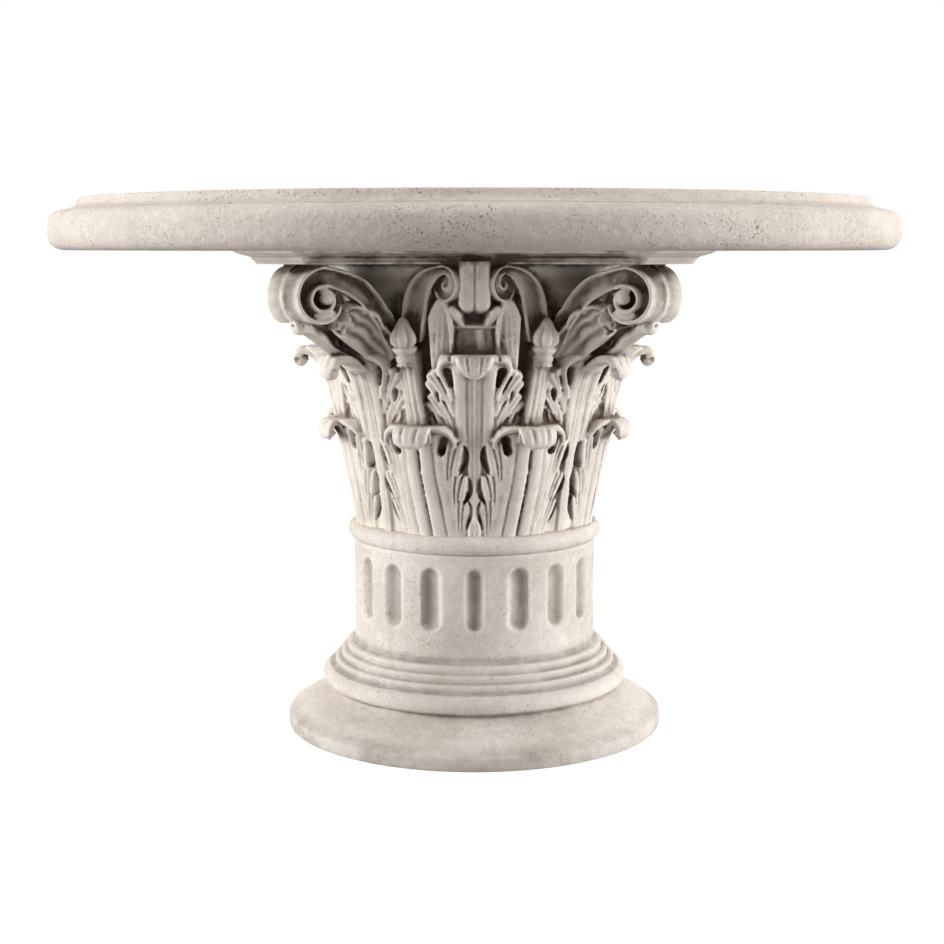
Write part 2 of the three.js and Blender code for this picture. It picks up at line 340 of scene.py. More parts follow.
def upper_leaf(relief, axis, eyes):
    """Half of a leaf of the upper tier. eyes is how far its pierced eyes open."""
    behind = relief.radius.copy()
    z = relief.z
    x = relief.across(axis)
    face = UPPER_FACE(z) - 5.0 * (x / 66) ** 2
    edge = np.interp(z, [288, 424, 434, 450, 475, 505, 525, 540, 549, 554], [30, 30, 36, 44, 54, 58, 56, 46, 33, 22])
    relief.plate(x, edge, face - 2.0 - np.where(z < 430, 1.5, 0))
    leaflets(relief, x, face, (30, 474), [(46, 526), (53, 529), (60, 524), (63, 514)], 5.6, 0.8, 2.0)
    leaflets(relief, x, face, (29, 442), [(49, 496), (56, 500), (62, 496), (66, 486)], 5.6, 0.6, 2.0)
    leaflets(relief, x, face, (28, 410), [(46, 470), (54, 473), (61, 466)], 5.6, 0.2, 2.0)
    relief.band(x, [(18, 430), (18.5, 470), (19, 540), (19, 554)], [7.0, 8.0, 8.6, 8.6], face, 3.2, 2.6)
    relief.band(x, [(5.5, 288), (5.5, 420), (6, 470), (6, 556)], [3.6, 4.0, 4.4, 4.8], face, 2.6, 0.8)
    relief.band(x, [(0, 288), (0, 556)], [1.8, 2.2], face, 1.5, 1.8)
    # the rim that frames the hollow beside the curl
    rim = spline([(29, 494), (33, 508), (41, 522), (44, 533), (41, 542), (30, 548), (0, 550)], 18)
    relief.band(x, rim, [2.2, 2.6, 2.8, 3.4, 4.5], face, 2.0, 3.0)
    relief.groove(x, [(31, 514), (35, 532)], [3.6, 6.0], 14)
    # the lines from between the lobes down to the midrib, and the eyes
    relief.groove(x, [(47, 524), (37, 502)], [1.9, 1.1], 6)
    relief.groove(x, [(42, 491), (30, 469)], [1.8, 1.0], 5)
    relief.groove(x, [(46, 469), (32, 449)], [1.8, 1.0], 5)
    for s, low in ((48, 490), (55, 461)):
        relief.groove(x, [(s, low), (s + 3.5, low + 13)], [1.4, 2.6 * eyes], 9 * eyes)
    relief.radius = np.where(z > UPPER_LEAF_TOP, behind, relief.radius)


def upper_stem(relief, axis):
    """The narrow midrib of an upper leaf where it shows between two lower leaves."""
    z = relief.z
    x = relief.across(axis)
    face = UPPER_FACE(z) - 2.0
    line = [(0, 288), (0, 440)]
    relief.band(x, line, [5.4, 5.8], face, 1.6, 0.0, slope=2.4, only=z < 446)
    relief.band(x, line, [1.7, 1.9], face, 1.0, 2.6, only=z < 446)


def cauliculus_stalk(relief):
    """A reeded stalk between the upper leaves, from behind the lower leaf's curl to the ring under its calyx."""
    z = relief.z
    axis = np.interp(z, [420, 470, 560, 600], [22.6, 23.0, 25.8, 27.0])
    x = (relief.theta - axis) * relief.reach
    face = np.interp(z, [420, 500, 560, 600], [199, 211, 217, 219])
    for offset, width in ((-9.5, 3.8), (-1.8, 3.8), (5.6, 3.2), (11.2, 2.6)):
        rise = 2.0 - abs(offset + 4) * 0.15
        relief.band(x, [(offset, 425), (offset * 0.94, 556)], width, face, 3.6, rise, slope=5.0)
    relief.band(x, [(18, 430), (22, 545)], [6, 9], face - 9, 2.0, 0.0, slope=1.2)


def calyx_leaf(relief):
    """The smooth leaf that climbs from a calyx and carries a helix."""
    z = relief.z
    x = relief.theta * relief.reach
    face = np.interp(z, [545, 580, 612, 625], [212, 218, 229, 232])
    body = spline([(47, 542), (47, 575), (45, 600), (42, 616)], 10)
    relief.band(x, body, [13, 15, 17, 12], face, 4.0, 0.0, only=(z > 535) & (z < 632))
    edge = spline([(31, 552), (31, 580), (33, 606), (37, 622)], 10)
    relief.band(x, edge, [1.8, 2.2, 2.6], face, 1.5, 3.0, only=z < 630)
    for vein in (-6.0, 0.0, 6.0):
        relief.groove(x, spline([(48 + vein, 552), (46 + vein * 1.2, 580), (44 + vein, 606)], 8), 1.1, 1.4)


def central_stem(relief):
    """The flared stalk in the middle of a side, its collar, and the two round columns above it."""
    z = relief.z
    x = relief.theta * relief.reach
    half = np.interp(z, [548, 592], [28, 22])
    inside = (x < half) & (z > 545) & (z < 594)
    stalk = np.interp(z, [548, 592], [208, 214])
    relief.radius = np.where(inside, np.maximum(relief.radius, stalk), relief.radius)
    relief.groove(x, [(29.5, 548), (26, 592), (26, 602)], [1.5, 2.0], 8)
    flare = np.interp(z, [592, 613], [219, 234])
    collar = spline([(16, 593), (22, 600), (27, 611), (28, 616)], 8)
    relief.band(x, collar, [3.0, 4.2, 5.0, 4.0], flare, 3.0, 0, slope=3.0)
    relief.band(x, [(0, 592), (27, 592)], 2.0, 217.0, 1.0, 0, slope=3.0)
    column = np.interp(z, [608, 616, 671], [240, 243, 245])
    relief.band(x, [(9.2, 624), (9.0, 690)], [10.2, 10.4], column, 7.5, 0, slope=4.0, only=z > 606)


def bell_relief():
    """The bell with everything carved on it, drawn from the back to the front."""
    relief = Relief()
    upper_leaf(relief, 0.0, 0.8)
    upper_leaf(relief, OCTANT, 1.7)
    lower_leaf(relief)
    for axis in (0.0, OCTANT):
        upper_stem(relief, axis)
    cauliculus_stalk(relief)
    calyx_leaf(relief)
    central_stem(relief)
    return relief


def bell_shell(relief):
    """The whole ring as one closed shell: the eighth, mirrored and repeated."""
    eighth = relief.radius
    quarter = np.concatenate([eighth[:, :-1], eighth[:, :0:-1]], 1)
    radius = np.concatenate([quarter] * SIDES, 1)
    columns = radius.shape[1]
    turn = np.linspace(0, 2 * np.pi, columns, endpoint=False)[None, :]
    z = np.repeat(relief.heights[:, None], columns, 1)
    shells = Shells()
    shells.skin(np.stack([radius * np.sin(turn), -radius * np.cos(turn), z], -1))
    return shells.object("bell")


# ---- leaf tips ----


def tongue(shells, angle, spine, halves, thickness, fall, lengths, furrows=()):
    """A curled leaf tip. It follows a spine of [radius, height] points, and halves are its half widths on the way.
    lengths is how far along the spine each part of its width goes, from the middle to the side, so that its end
    is lobed. furrows are [where across, depth] of the lines along it."""
    rows, columns = 28, 33
    along = spline(spine, rows * 4)
    tangent = np.gradient(along, axis=0)
    tangent /= np.linalg.norm(tangent, axis=1)[:, None]
    outward = np.stack([-tangent[:, 1], tangent[:, 0]], 1)
    widths = spline(np.array(halves, float)[:, None], rows * 4)[:, 0]
    across = np.linspace(-1, 1, columns)
    length = np.interp(np.abs(across), np.linspace(0, 1, len(lengths)), lengths)
    furrow = np.zeros(columns)
    for v, depth in furrows:
        furrow = furrow + np.exp(-(((np.abs(across) - v) / 0.075) ** 2)) * depth
    rings = []
    for t in np.linspace(0, 1, rows):
        at = t * length * (rows * 4 - 1)
        low = np.clip(at.astype(int), 0, rows * 4 - 2)
        part = (at - low)[:, None]
        centre = along[low] * (1 - part) + along[low + 1] * part
        normal = outward[low]
        half = widths[low]
        edge = np.sqrt(np.clip(1.02 - across**2, 0, 1))
        body = 0.15 + 0.85 * ease(t, 0.0, 0.42) + 0.35 * ease(t, 0.6, 1.0)
        sides = []
        for lift in (-furrow * ease(t, 0.3, 0.6), -thickness * (0.35 + 0.65 * edge) * body):
            sag = fall * across**2 * t
            radial = centre[:, 0] + normal[:, 0] * lift - sag * 0.8
            height = centre[:, 1] + normal[:, 1] * lift - sag * 0.5
            turn = math.radians(angle) + across * half / centre[:, 0]
            sides.append(np.stack([radial * np.sin(turn), -radial * np.cos(turn), height], 1))
        rings.append(np.concatenate([sides[0], sides[1][::-1]]))
    shells.skin(rings)


def drop(shells, angle, radius, height, radii):
    """The rounded end inside a curl. radii are its half sizes across, outwards and upwards."""
    a = math.radians(angle)
    across, outwards = (math.cos(a), math.sin(a), 0), (math.sin(a), -math.cos(a), 0)
    ball(shells, (radius * outwards[0], radius * outwards[1], height), radii, [across, outwards, (0, 0, 1)])


def lower_tip(shells):
    """The tip of a lower leaf, curled out and down."""
    spine = [(204, 434), (214, 450), (222, 457), (230, 454), (235, 445), (234, 434), (227, 426)]
    halves = [22, 24, 26, 26, 25, 23, 19]
    furrows = [(0.40, 3.8), (0.0, 1.6), (0.80, 1.8)]
    tongue(shells, LOWER_AXIS, spine, halves, 13, 5, [0.92, 0.96, 0.88, 0.96, 0.98, 0.78], furrows)
    drop(shells, LOWER_AXIS, 225, 437, (19, 9, 10))


def upper_tip(shells, axis, further, slim):
    """The tip of an upper leaf. further is how much more it stands out than the one in the middle of a side,
    and slim is the width of its end against that one's."""
    spine = [(222, 526), (236, 545), (246, 553), (255, 552), (262, 544), (264, 534), (257, 523)]
    spine = [(r + further * min(k / 3, 1), z - further * 0.1 * max(k - 3, 0)) for k, (r, z) in enumerate(spine)]
    halves = [w * (1 - (1 - slim) * min(k / 3, 1)) for k, w in enumerate([23, 24, 24, 23, 21, 18, 15])]
    furrows = [(0.40, 3.6), (0.14, 1.8), (0.70, 2.0)]
    tongue(shells, axis, spine, halves, 15, 4, [1.0, 0.97, 0.88, 0.92, 0.88, 0.70], furrows)
    drop(shells, axis, 252 + further, 535 - further * 0.25, (14, 10, 11))


def facing_out(run, across, at):
    """The unit normal of a strip that runs along run and lies across, on the side away from the bell."""
    normal = np.cross(run, across)
    normal /= np.linalg.norm(normal) + 1e-9
    return -normal if normal @ np.array([at[0], at[1], 0.0]) < 0 else normal


def edge_beads(v, at):
    """Two narrow swellings along a strip's edges, which are v = 0 and v = 1."""
    return np.exp(-(((v - at) / at) ** 2)) + np.exp(-(((v - 1 + at) / at) ** 2))


def leaf_blade(shells, upper, lower, dish, thickness, lobes=0.0, lobe_count=0.0, veins=0.0, count=44):
    """A leaf that turns as it goes, hollowed between an upper and a lower edge, with veins along it."""
    upper, lower = spline(upper, count), spline(lower, count)
    swell = lobes * (np.abs(np.sin(np.pi * lobe_count * np.linspace(0, 1, count))) ** 0.7 - 0.5)
    upper = upper + (upper - lower) / np.linalg.norm(upper - lower, axis=1)[:, None] * swell[:, None]
    rings = []
    for i in range(count):
        span = lower[i] - upper[i]
        run = (upper + lower)[min(i + 1, count - 1)] - (upper + lower)[max(i - 1, 0)]
        normal = facing_out(run, span, upper[i])
        v = np.linspace(0, 1, 25)
        deep = np.interp(i / (count - 1), np.linspace(0, 1, len(dish)), dish)
        lift = -deep * np.sin(np.pi * v) ** 1.1 + 1.6 * edge_beads(v, 0.06)
        lift += veins * np.cos(7 * np.pi * v) * math.sin(math.pi * i / (count - 1)) ** 0.5
        front = upper[i] + span * v[:, None] + normal * lift[:, None]
        back = upper[i] + span * v[::-2, None] - normal * (thickness + deep * 0.5)
        rings.append(np.concatenate([front, back]))
    shells.skin(rings)


def corner_leaf(shells):
    """The leaf that runs from a calyx to the tip under the corner of the volutes."""
    upper = [(128, -186, 545), (147, -191, 557), (166, -198, 571), (185, -207, 585)]
    upper += [(210, -222, 596), (229, -233, 600), (238, -240, 597)]
    lower = [(146, -168, 534), (162, -180, 541), (180, -190, 547), (197, -200, 556)]
    lower += [(213, -213, 570), (228, -228, 583), (236, -237, 588)]
    leaf_blade(shells, upper, lower, [3, 8, 14, 15, 12, 5], 7)
    spine = [(222, 540), (248, 551), (272, 563), (298, 581), (318, 596), (332, 596), (336, 586)]
    tongue(shells, OCTANT, spine, [12, 12, 10, 10, 13, 14, 11], 9, 0, [1.0, 0.98, 0.94, 0.88, 0.78])
    drop(shells, OCTANT, 326, 589, (13, 9, 8))


def outer_calyx_leaf(shells):
    """The leaf that leaves a calyx towards the corner and curls over under the volute."""
    upper = [(102, -188, 552), (114, -196, 582), (126, -205, 601), (141, -214, 613)]
    upper += [(157, -223, 617), (170, -231, 613), (179, -237, 603), (180, -236, 596)]
    lower = [(124, -184, 534), (146, -189, 548), (159, -195, 558), (171, -202, 567)]
    lower += [(180, -210, 576), (186, -220, 583), (188, -230, 588), (186, -236, 590)]
    leaf_blade(shells, upper, lower, [1, 2, 3, 5, 9, 10, 4], 12, 5.0, 4.5, 1.5)


# ---- the calyx and its bud ----


def calyx(shells):
    """The beads, the ring, the petalled cup and the bud on top of a reeded stalk."""
    foot = np.array([91.5, -190.0, 544.0])
    head = np.array([96.5, -198.0, 606.0])
    axis = (head - foot) / np.linalg.norm(head - foot)
    side = np.cross(axis, [0, 0, 1.0])
    side /= np.linalg.norm(side)
    front = np.cross(side, axis)
    # [height, radius] of the ring, then of the cup, then of the bud
    profile = [(-4, 11.5), (0, 12), (2.0, 14.2), (4, 12.4), (6.0, 14.6), (8, 12.6)]
    profile += [(11, 13), (15, 16), (19, 17), (21, 14.5)]
    profile += [(27, 17), (34, 17.5), (41, 15), (47, 11.5), (53, 9), (58, 5), (61, 1)]
    rings = []
    for up, r in spline(profile, 66):
        cup = 0.10 * ease(up, 10, 13) * (1 - ease(up, 18, 21))
        petal = 0.46 * ease(up, 21, 26) * (1 - ease(up, 42, 56))
        ring = []
        for k in range(72):
            a = k * 2 * math.pi / 72
            swell = r * (1 + cup * (abs(math.cos(a * 5)) - 0.5) + petal * (abs(math.cos(a * 3 + 0.5)) ** 0.6 - 0.7))
            ring.append(foot + axis * up + side * math.cos(a) * swell + front * math.sin(a) * swell)
        rings.append(ring)
    shells.skin(rings)
    for k in range(12):
        a = k * 2 * math.pi / 12
        around = side * math.cos(a) * 11.8 + front * math.sin(a) * 11.8
        ball(shells, foot - axis * 4 + around, (2.6, 2.6, 2.8))


def ball(shells, centre, radii, directions=None):
    """An egg with half sizes radii along three directions."""
    directions = np.eye(3) if directions is None else np.asarray(directions, float)
    k = np.arange(16) * math.pi / 8
    rings = []
    for lat in np.linspace(0, math.pi, 13)[1:-1]:
        ring = [radii[0] * math.sin(lat) * np.cos(k), radii[1] * math.sin(lat) * np.sin(k)]
        local = np.stack([*ring, np.full(16, radii[2] * math.cos(lat))], 1)
        rings.append(np.asarray(centre, float) + local @ directions)
    shells.skin(rings)


# ---- scrolls ----


class Scroll:
    """The frame of a volute or helix. reach points from the eye to the scroll's outer side, and back is the
    way its body runs behind its face."""

    def __init__(self, eye, reach, back, radii):
        self.eye = np.array(eye, float)
        self.reach = np.array([math.cos(reach), math.sin(reach), 0.0])
        self.face = np.array([-self.reach[1], self.reach[0], 0.0])
        self.back = np.array(back, float) / np.linalg.norm(back)
        if self.face @ self.back > 0:
            self.face = -self.face
        self.radius = table(list(enumerate(radii)))  # by quarter turns, from the top towards the outer side

    def at(self, s, z, n=0.0, deep=0.0):
        """The point s outwards and z up from the eye, n in front of the face and deep behind it."""
        return self.eye + self.reach * s + np.array([0, 0, z]) + self.face * n + self.back * deep

    def turns(self, first, last, count, shrink=0.0):
        """[s, z] points round the spiral between two quarter turns."""
        q = np.linspace(first, last, count)
        a, r = q * math.pi / 2, self.radius(q) - shrink
        return np.stack([np.sin(a) * r, np.cos(a) * r], 1)


def disc(shells, scroll, sunk, depth, round_back):
    """The scroll's body behind its sunk face."""
    steps = [(7, -sunk, 0), (2, -sunk, 0), (0, -sunk + 1, 1), (0, 0, depth - 8), (-1.2, 0, depth - 6)]
    steps += [(-1.2, 0, depth - 3), (1, 0, depth - 2), (round_back, 0, depth)]
    rings = []
    for shrink, n, deep in steps:
        rings.append([scroll.at(s, z, n, deep) for s, z in scroll.turns(0, 4, 73, shrink)[:-1]])
    shells.skin(rings)


def ridge(shells, scroll, path, width, height, sunk):
    """A rounded ridge along a path of [s, z] points, from behind the sunk face to the front."""
    path = np.asarray(path, float)
    along = np.gradient(path, axis=0)
    along /= np.linalg.norm(along, axis=1)[:, None] + 1e-9
    across = np.stack([along[:, 1], -along[:, 0]], 1)
    place = np.linspace(0, 1, len(path))
    w = np.interp(place, np.linspace(0, 1, len(width)), width) / 2
    h = np.interp(place, np.linspace(0, 1, len(height)), height)
    rings = []
    for i, (s, z) in enumerate(path):
        section = [(-w[i], -sunk - 6), (-w[i], h[i] - w[i] * 0.9), (-w[i] * 0.6, h[i] - w[i] * 0.25), (0, h[i])]
        section += [(-u, n) for u, n in section[2::-1]]
        rings.append([scroll.at(s + across[i, 0] * u, z + across[i, 1] * u, n) for u, n in section])
    shells.skin(rings)


def ribbon(shells, outer, inner, dish, thickness, edge, wide=0.08):
    """A band between two edges in space, dished between raised edges."""
    count = 34
    outer, inner = spline(outer, count), spline(inner, count)
    rings = []
    for i in range(count):
        across = inner[i] - outer[i]
        run = outer[min(i + 1, count - 1)] - outer[max(i - 1, 0)]
        normal = facing_out(run, across, outer[i])
        v = np.linspace(0, 1, 17)
        lift = -dish * np.sin(np.pi * v) ** 0.8 + edge * edge_beads(v, wide)
        front = outer[i] + across * v[:, None] + normal * lift[:, None]
        back = outer[i] + across * v[::-2, None] - normal * thickness
        rings.append(np.concatenate([front, back]))
    shells.skin(rings)


def volute(shells):
    """The large scroll under a corner of the abacus, with the ribbon that carries it up from the calyx."""
    scroll = Scroll((192, -254, 629), -0.51, (0.7071, 0.7071, 0), [43, 40.5, 32.5, 24, 20, 18])
    sunk = 18
    body = [43, 40.5, 32.0, 20, 43]
    steps = [(7, -sunk, 0), (2, -sunk, 0), (0, -sunk + 1, 1), (0, 0, 31)]
    steps += [(-1.6, 0, 33), (-1.6, 0, 36), (1.4, 0, 37.5), (8, 0, 42)]
    rings = []
    for shrink, n, deep in steps:
        q = np.linspace(0, 4, 80, endpoint=False)
        r = np.interp(q, range(5), body) - shrink
        rings.append([scroll.at(math.sin(a) * k, math.cos(a) * k, n, deep) for a, k in zip(q * math.pi / 2, r)])
    shells.skin(rings)
    # the outer wall runs from the ribbon's upper edge over the top and down under the curl
    wall = np.concatenate([spline([(-34, 33), (-18, 37.5), (-6, 40)], 10)[:-1], scroll.turns(0, 2.75, 60, 2.2)])
    ridge(shells, scroll, wall, [4.6, 4.6, 5.0, 4.0], [-5, -1, 0, 0, -2], sunk)
    # the inner curl continues the ribbon's lower edge
    turn = np.linspace(-0.55, 4.3, 70)
    size = np.interp(turn, [-0.55, 0, 1, 2, 3, 4, 4.3], [22, 17, 18, 15.5, 13.5, 11, 9])
    curl = np.stack([np.sin(turn * math.pi / 2) * size + 2, np.cos(turn * math.pi / 2) * size - 1], 1)
    ridge(shells, scroll, curl, [5, 6, 6.5, 6.5, 6], [-6, -2, 0, 0, -1], sunk)
    ball(shells, scroll.at(-1, 1, -6), (9.5, 9.5, 9.0), [scroll.reach, (0, 0, 1), scroll.face])
    upper = [(-113, -48, -15), (-104, -26, -12), (-92, -12, -9), (-76, 8, -6)]
    upper += [(-57, 25, -5), (-34, 34, -5), (-6, 41, -6)]
    lower = [(-94, -62, -15), (-82, -42, -12), (-70, -27, -9), (-58, -13, -7)]
    lower += [(-42, 0, -7), (-22, 10, -8), (2, 17, -9)]
    upper, lower = ([scroll.at(s, z, n) for s, z, n in edge] for edge in (upper, lower))
    ribbon(shells, upper, lower, 13, 26, 2.6)
    # the little leaf that cups the curl from below
    cup = spline([(-14, -17), (-6, -21), (6, -24), (16, -21)], 16)
    ridge(shells, scroll, cup, [7, 10, 9, 5], [-3, 0, -1, -4], sunk)


def helix(shells):
    """The small scroll that meets its mirror image in the middle of a side."""
    radii = [25, 24.5, 22.5, 19.5, 18.5, 13.5, 9, 7, 5]
    scroll = Scroll((42, -226, 647), math.pi + 0.80, (-0.55, 0.83, 0), radii)
    sunk = 5
    disc(shells, scroll, sunk, 30, 3)
    ridge(shells, scroll, scroll.turns(-0.02, 3.6, 60, 1.6), [3.4, 3.6, 3.6, 3.2], [0, 0, 0, -2], sunk)
    ridge(shells, scroll, scroll.turns(3.4, 7.6, 50, 3.6), [3.4, 4.4, 5], [-2, -1, -1], sunk)
    outer = [(101, -184, 575), (98, -190, 598), (95, -198, 626), (87, -206, 648)]
    outer += [(74, -214, 663), (57, -222, 670), (38, -229, 672)]
    inner = [(72, -198, 570), (67, -204, 592), (63, -209, 612), (60, -214, 632)]
    inner += [(55, -219, 646), (48, -223, 656), (38, -227, 662)]
    ribbon(shells, outer, inner, 4, 16, 3.4, wide=0.09)


# ---- the abacus ----


def turned(points, quarters):
    """Points of a plan turned about the axis by a number of quarter turns."""
    c, s = math.cos(quarters * math.pi / 2), math.sin(quarters * math.pi / 2)
    return points @ np.array([[c, s], [-s, c]])


def abacus_outline(grow):
    """The plan: four hollow sides between cut corners, moved outwards by grow."""
    near, far, hollow = 217 + grow * 0.414, 289 + grow, 62
    side = np.array([(x, -far + hollow * (1 - (x / near) ** 2)) for x in np.linspace(-near, near, 41)])
    points = []
    for quarter in range(SIDES):
        points.append(turned(side, quarter))
        points.append(np.linspace(points[-1][-1], turned(side[0], quarter + 1), 8)[1:-1])
    return np.concatenate(points)


def abacus():
    """The hollow-sided slab on top of the capital, moulded from a fillet and a hollow to a rounded edge."""
    levels = [(0, -3), (0.5, -0.6), (1.6, 0), (4.2, 0.6), (5.0, 3), (5.6, 4)]
    levels += [(5.6 + 5.6 * math.sin(a), 14 - 10 * math.cos(a)) for a in np.linspace(0, math.pi / 2, 6)]
    levels += [(12.4, 15.5), (12.8, 17), (13.8, 22), (15.4, 26), (17.2, 27.7), (18, 28)]
    rings = []
    for up, grow in levels:
        plan = abacus_outline(grow)
        rings.append(np.concatenate([plan, np.full((len(plan), 1), ABACUS_FOOT + up)], 1))
    shells = Shells()
    shells.skin(rings)
    return shells.object("abacus")


# ---- repeating the eighth round the four sides ----


def round_the_sides():
    """A node tree that mirrors a shape about a side's middle and repeats the pair round the axis."""
    tree = bpy.data.node_groups.new("Round the sides", "GeometryNodeTree")
    tree.interface.new_socket("Geometry", in_out="INPUT", socket_type="NodeSocketGeometry")
    sides = tree.interface.new_socket("Sides", in_out="INPUT", socket_type="NodeSocketInt")
    sides.default_value = SIDES
    stone = tree.interface.new_socket("Stone", in_out="INPUT", socket_type="NodeSocketMaterial")
    tree.interface.new_socket("Geometry", in_out="OUTPUT", socket_type="NodeSocketGeometry")
    start, end = node(tree, "NodeGroupInput"), node(tree, "NodeGroupOutput")
    shape, count = start.outputs["Geometry"], start.outputs["Sides"]

    mirror = node(tree, "GeometryNodeTransform", {"Geometry": shape, "Scale": (-1, 1, 1)})
    flip = node(tree, "GeometryNodeFlipFaces", {"Mesh": mirror.outputs["Geometry"]})
    pair = node(tree, "GeometryNodeJoinGeometry", {"Geometry": shape})
    tree.links.new(flip.outputs["Mesh"], pair.inputs["Geometry"])

    points = node(tree, "GeometryNodeMeshLine", {"Offset": (0, 0, 0), "Count": count})
    share = maths(tree, "DIVIDE", node(tree, "GeometryNodeInputIndex").outputs[0], count)
    turn = node(tree, "ShaderNodeCombineXYZ", {"Z": maths(tree, "MULTIPLY", share, 2 * math.pi)})
    place = node(
        tree,
        "GeometryNodeInstanceOnPoints",
        {"Points": points.outputs["Mesh"], "Instance": pair.outputs["Geometry"], "Rotation": turn.outputs["Vector"]},
    )
    real = node(tree, "GeometryNodeRealizeInstances", {"Geometry": place.outputs["Instances"]})
    finish = node(
        tree, "GeometryNodeSetMaterial", {"Geometry": real.outputs["Geometry"], "Material": start.outputs["Stone"]}
    )
    tree.links.new(finish.outputs["Geometry"], end.inputs["Geometry"])
    return tree, {"Sides": sides.identifier, "Stone": stone.identifier}


def evaluated_mesh(source, name):
    """The source with its modifiers applied, as a plain mesh object. The source is removed."""
    depsgraph = bpy.context.evaluated_depsgraph_get()
    mesh = bpy.data.meshes.new_from_object(source.evaluated_get(depsgraph))
    mesh.name = name
    made = bpy.data.objects.new(name, mesh)
    bpy.context.scene.collection.objects.link(made)
    bpy.data.objects.remove(source)
    return made


def repeated(source, material, name):
    """The carving of one eighth, mirrored and repeated as a plain mesh."""
    tree, sockets = round_the_sides()
    modifier = source.modifiers.new("Round the sides", "NODES")
    modifier.node_group = tree
    modifier[sockets["Sides"]] = SIDES
    modifier[sockets["Stone"]] = material
    return evaluated_mesh(source, name)


def joined(name, objects):
    """One mesh object in place of the given ones."""
    made = mesh_object(name, *gathered(objects))
    for piece in objects:
        bpy.data.objects.remove(piece)
    return made


# ---- the turned parts ----


def foot_profile():
    """[radius, height] up the foot, the drum and the astragal ring."""
    points = [(0, 0), (200, 0), (272.5, 0), (274.4, 0.8), (FOOT_RADIUS, 2.5)]
    points += [(FOOT_RADIUS, 10), (FOOT_RADIUS, 17.5), (274.2, 19.4), (272, 20.4)]
    points += [*spline([(271, 21.5), (254, 33), (240, 40), (228, 46), (218, 52), (211.5, 57.5)], 22)]
    points += [(210.5, 58.6), (209.5, 59.2)]
    points += [(208 + 16 * math.cos(a), 74 + 14.5 * math.sin(a)) for a in np.radians(np.linspace(-75, 75, 18))]
    points += [(206, 90), (206, 98.4), (205.2, 99.2), (197.8, 99.6), (197, 100.6), (197, 109.4), (196.2, 110.2)]
    points += [(188.8, 110.6), (188, 111.6), (188, 120.4), (187.2, 121.2), (179, 122.5), (DRUM_RADIUS + 0.8, 125)]
    points += [(DRUM_RADIUS, z) for z in np.arange(129, 270, 3)]
    points += [(177, 271), (177.2, 274), (175.5, 275.5), (175, 276.6)]
    ring = np.radians(np.linspace(-80, 84, 18))
    points += [(173.5 + 11.5 * math.cos(a), RING_CENTRE + RING_HALF * math.sin(a)) for a in ring]
    points += [(168, 302.5), (150, 303), (0, 303)]
    return points


def turned_shell(name, profile, around):
    """A lathe shell. The profile starts and ends on the axis."""
    angles = np.linspace(0, 2 * np.pi, around, endpoint=False)
    body = np.array(profile[1:-1], float)
    rings = np.stack(
        [
            body[:, :1] * np.sin(angles)[None, :],
            -body[:, :1] * np.cos(angles)[None, :],
            np.repeat(body[:, 1:], around, 1),
        ],
        -1,
    )
    shells = Shells()
    shells.skin(rings)
    return shells.object(name)


def cut_flutes(drum):
    """Presses round-ended flutes into the drum's surface."""
    at = points_of(drum.data) * 1000
    r = np.hypot(at[:, 0], at[:, 1])
    angle = np.arctan2(at[:, 0], -at[:, 1])
    step = 2 * math.pi / FLUTES
    offset = (angle - np.round(angle / step) * step) * DRUM_RADIUS
    end = np.clip(np.abs(at[:, 2] - FLUTE_MIDDLE) - FLUTE_STRAIGHT, 0, None)
    share = np.hypot(offset, end) / FLUTE_HALF_WIDTH
    depth = FLUTE_DEPTH * np.clip(1 - share**2.4, 0, 1) ** 0.75
    depth = np.where(np.abs(r - DRUM_RADIUS) < 3, depth, 0)
    at *= ((r - depth) / np.maximum(r, 1e-6))[:, None] * [1, 1, 0] + [0, 0, 1]
    drum.data.vertices.foreach_set("co", (at / 1000).astype(np.float32).ravel())
    drum.data.update()


def slab_profile():
    """[radius, height] from the slab's flat underside round its swollen edge to the fillet and the top."""
    points = [(0, BEARING), (300, BEARING), (560, BEARING), (570, BEARING)]
    for a in np.linspace(-math.pi / 2, math.pi / 2, 34):
        out, up = (math.copysign(abs(part) ** 0.74, part) for part in (math.cos(a), math.sin(a)))
        points.append((571 + 26 * out, BEARING + 27 + 27 * up))
    points += [(570.6, 747.2), (570, 747.6)]
    points += [*bend((568.5, 748), (558.5, 749), (556.5, 757), 9)]
    points += [(556, 758), (555.4, 761)]
    points += [(r, TABLE_HEIGHT) for r in (554, 552, 400, 200, 0)]
    return points


# ---- finishes ----


def socketed_group(name, inputs, outputs):
    """An empty shader group with [name, kind, value] inputs and [name, kind] outputs."""
    tree = bpy.data.node_groups.new(name, "ShaderNodeTree")
    for label, kind, value in inputs:
        socket = tree.interface.new_socket(label, in_out="INPUT", socket_type="NodeSocket" + kind)
        if value is not None:
            socket.default_value = value
    for label, kind in outputs:
        tree.interface.new_socket(label, in_out="OUTPUT", socket_type="NodeSocket" + kind)
    return tree, node(tree, "NodeGroupInput"), node(tree, "NodeGroupOutput")


def noise(tree, vector, scale, detail=4.0, roughness=0.55):
    inputs = {"Scale": scale, "Detail": detail, "Roughness": roughness, "Vector": vector}
    return node(tree, "ShaderNodeTexNoise", inputs).outputs["Fac"]


def mapped(tree, value, low, high, to_low=0.0, to_high=1.0):
    """A smooth rise from to_low to to_high as the value goes from low to high."""
    inputs = {"From Min": low, "From Max": high, "To Min": to_low, "To Max": to_high, "Value": value}
    return node(tree, "ShaderNodeMapRange", inputs, interpolation_type="SMOOTHSTEP").outputs["Result"]


def blended(tree, share, a, b):
    """Colour a where share is 0, and colour b where it is 1."""
    return node(tree, "ShaderNodeMix", {0: share, 6: a, 7: b}, data_type="RGBA").outputs[2]


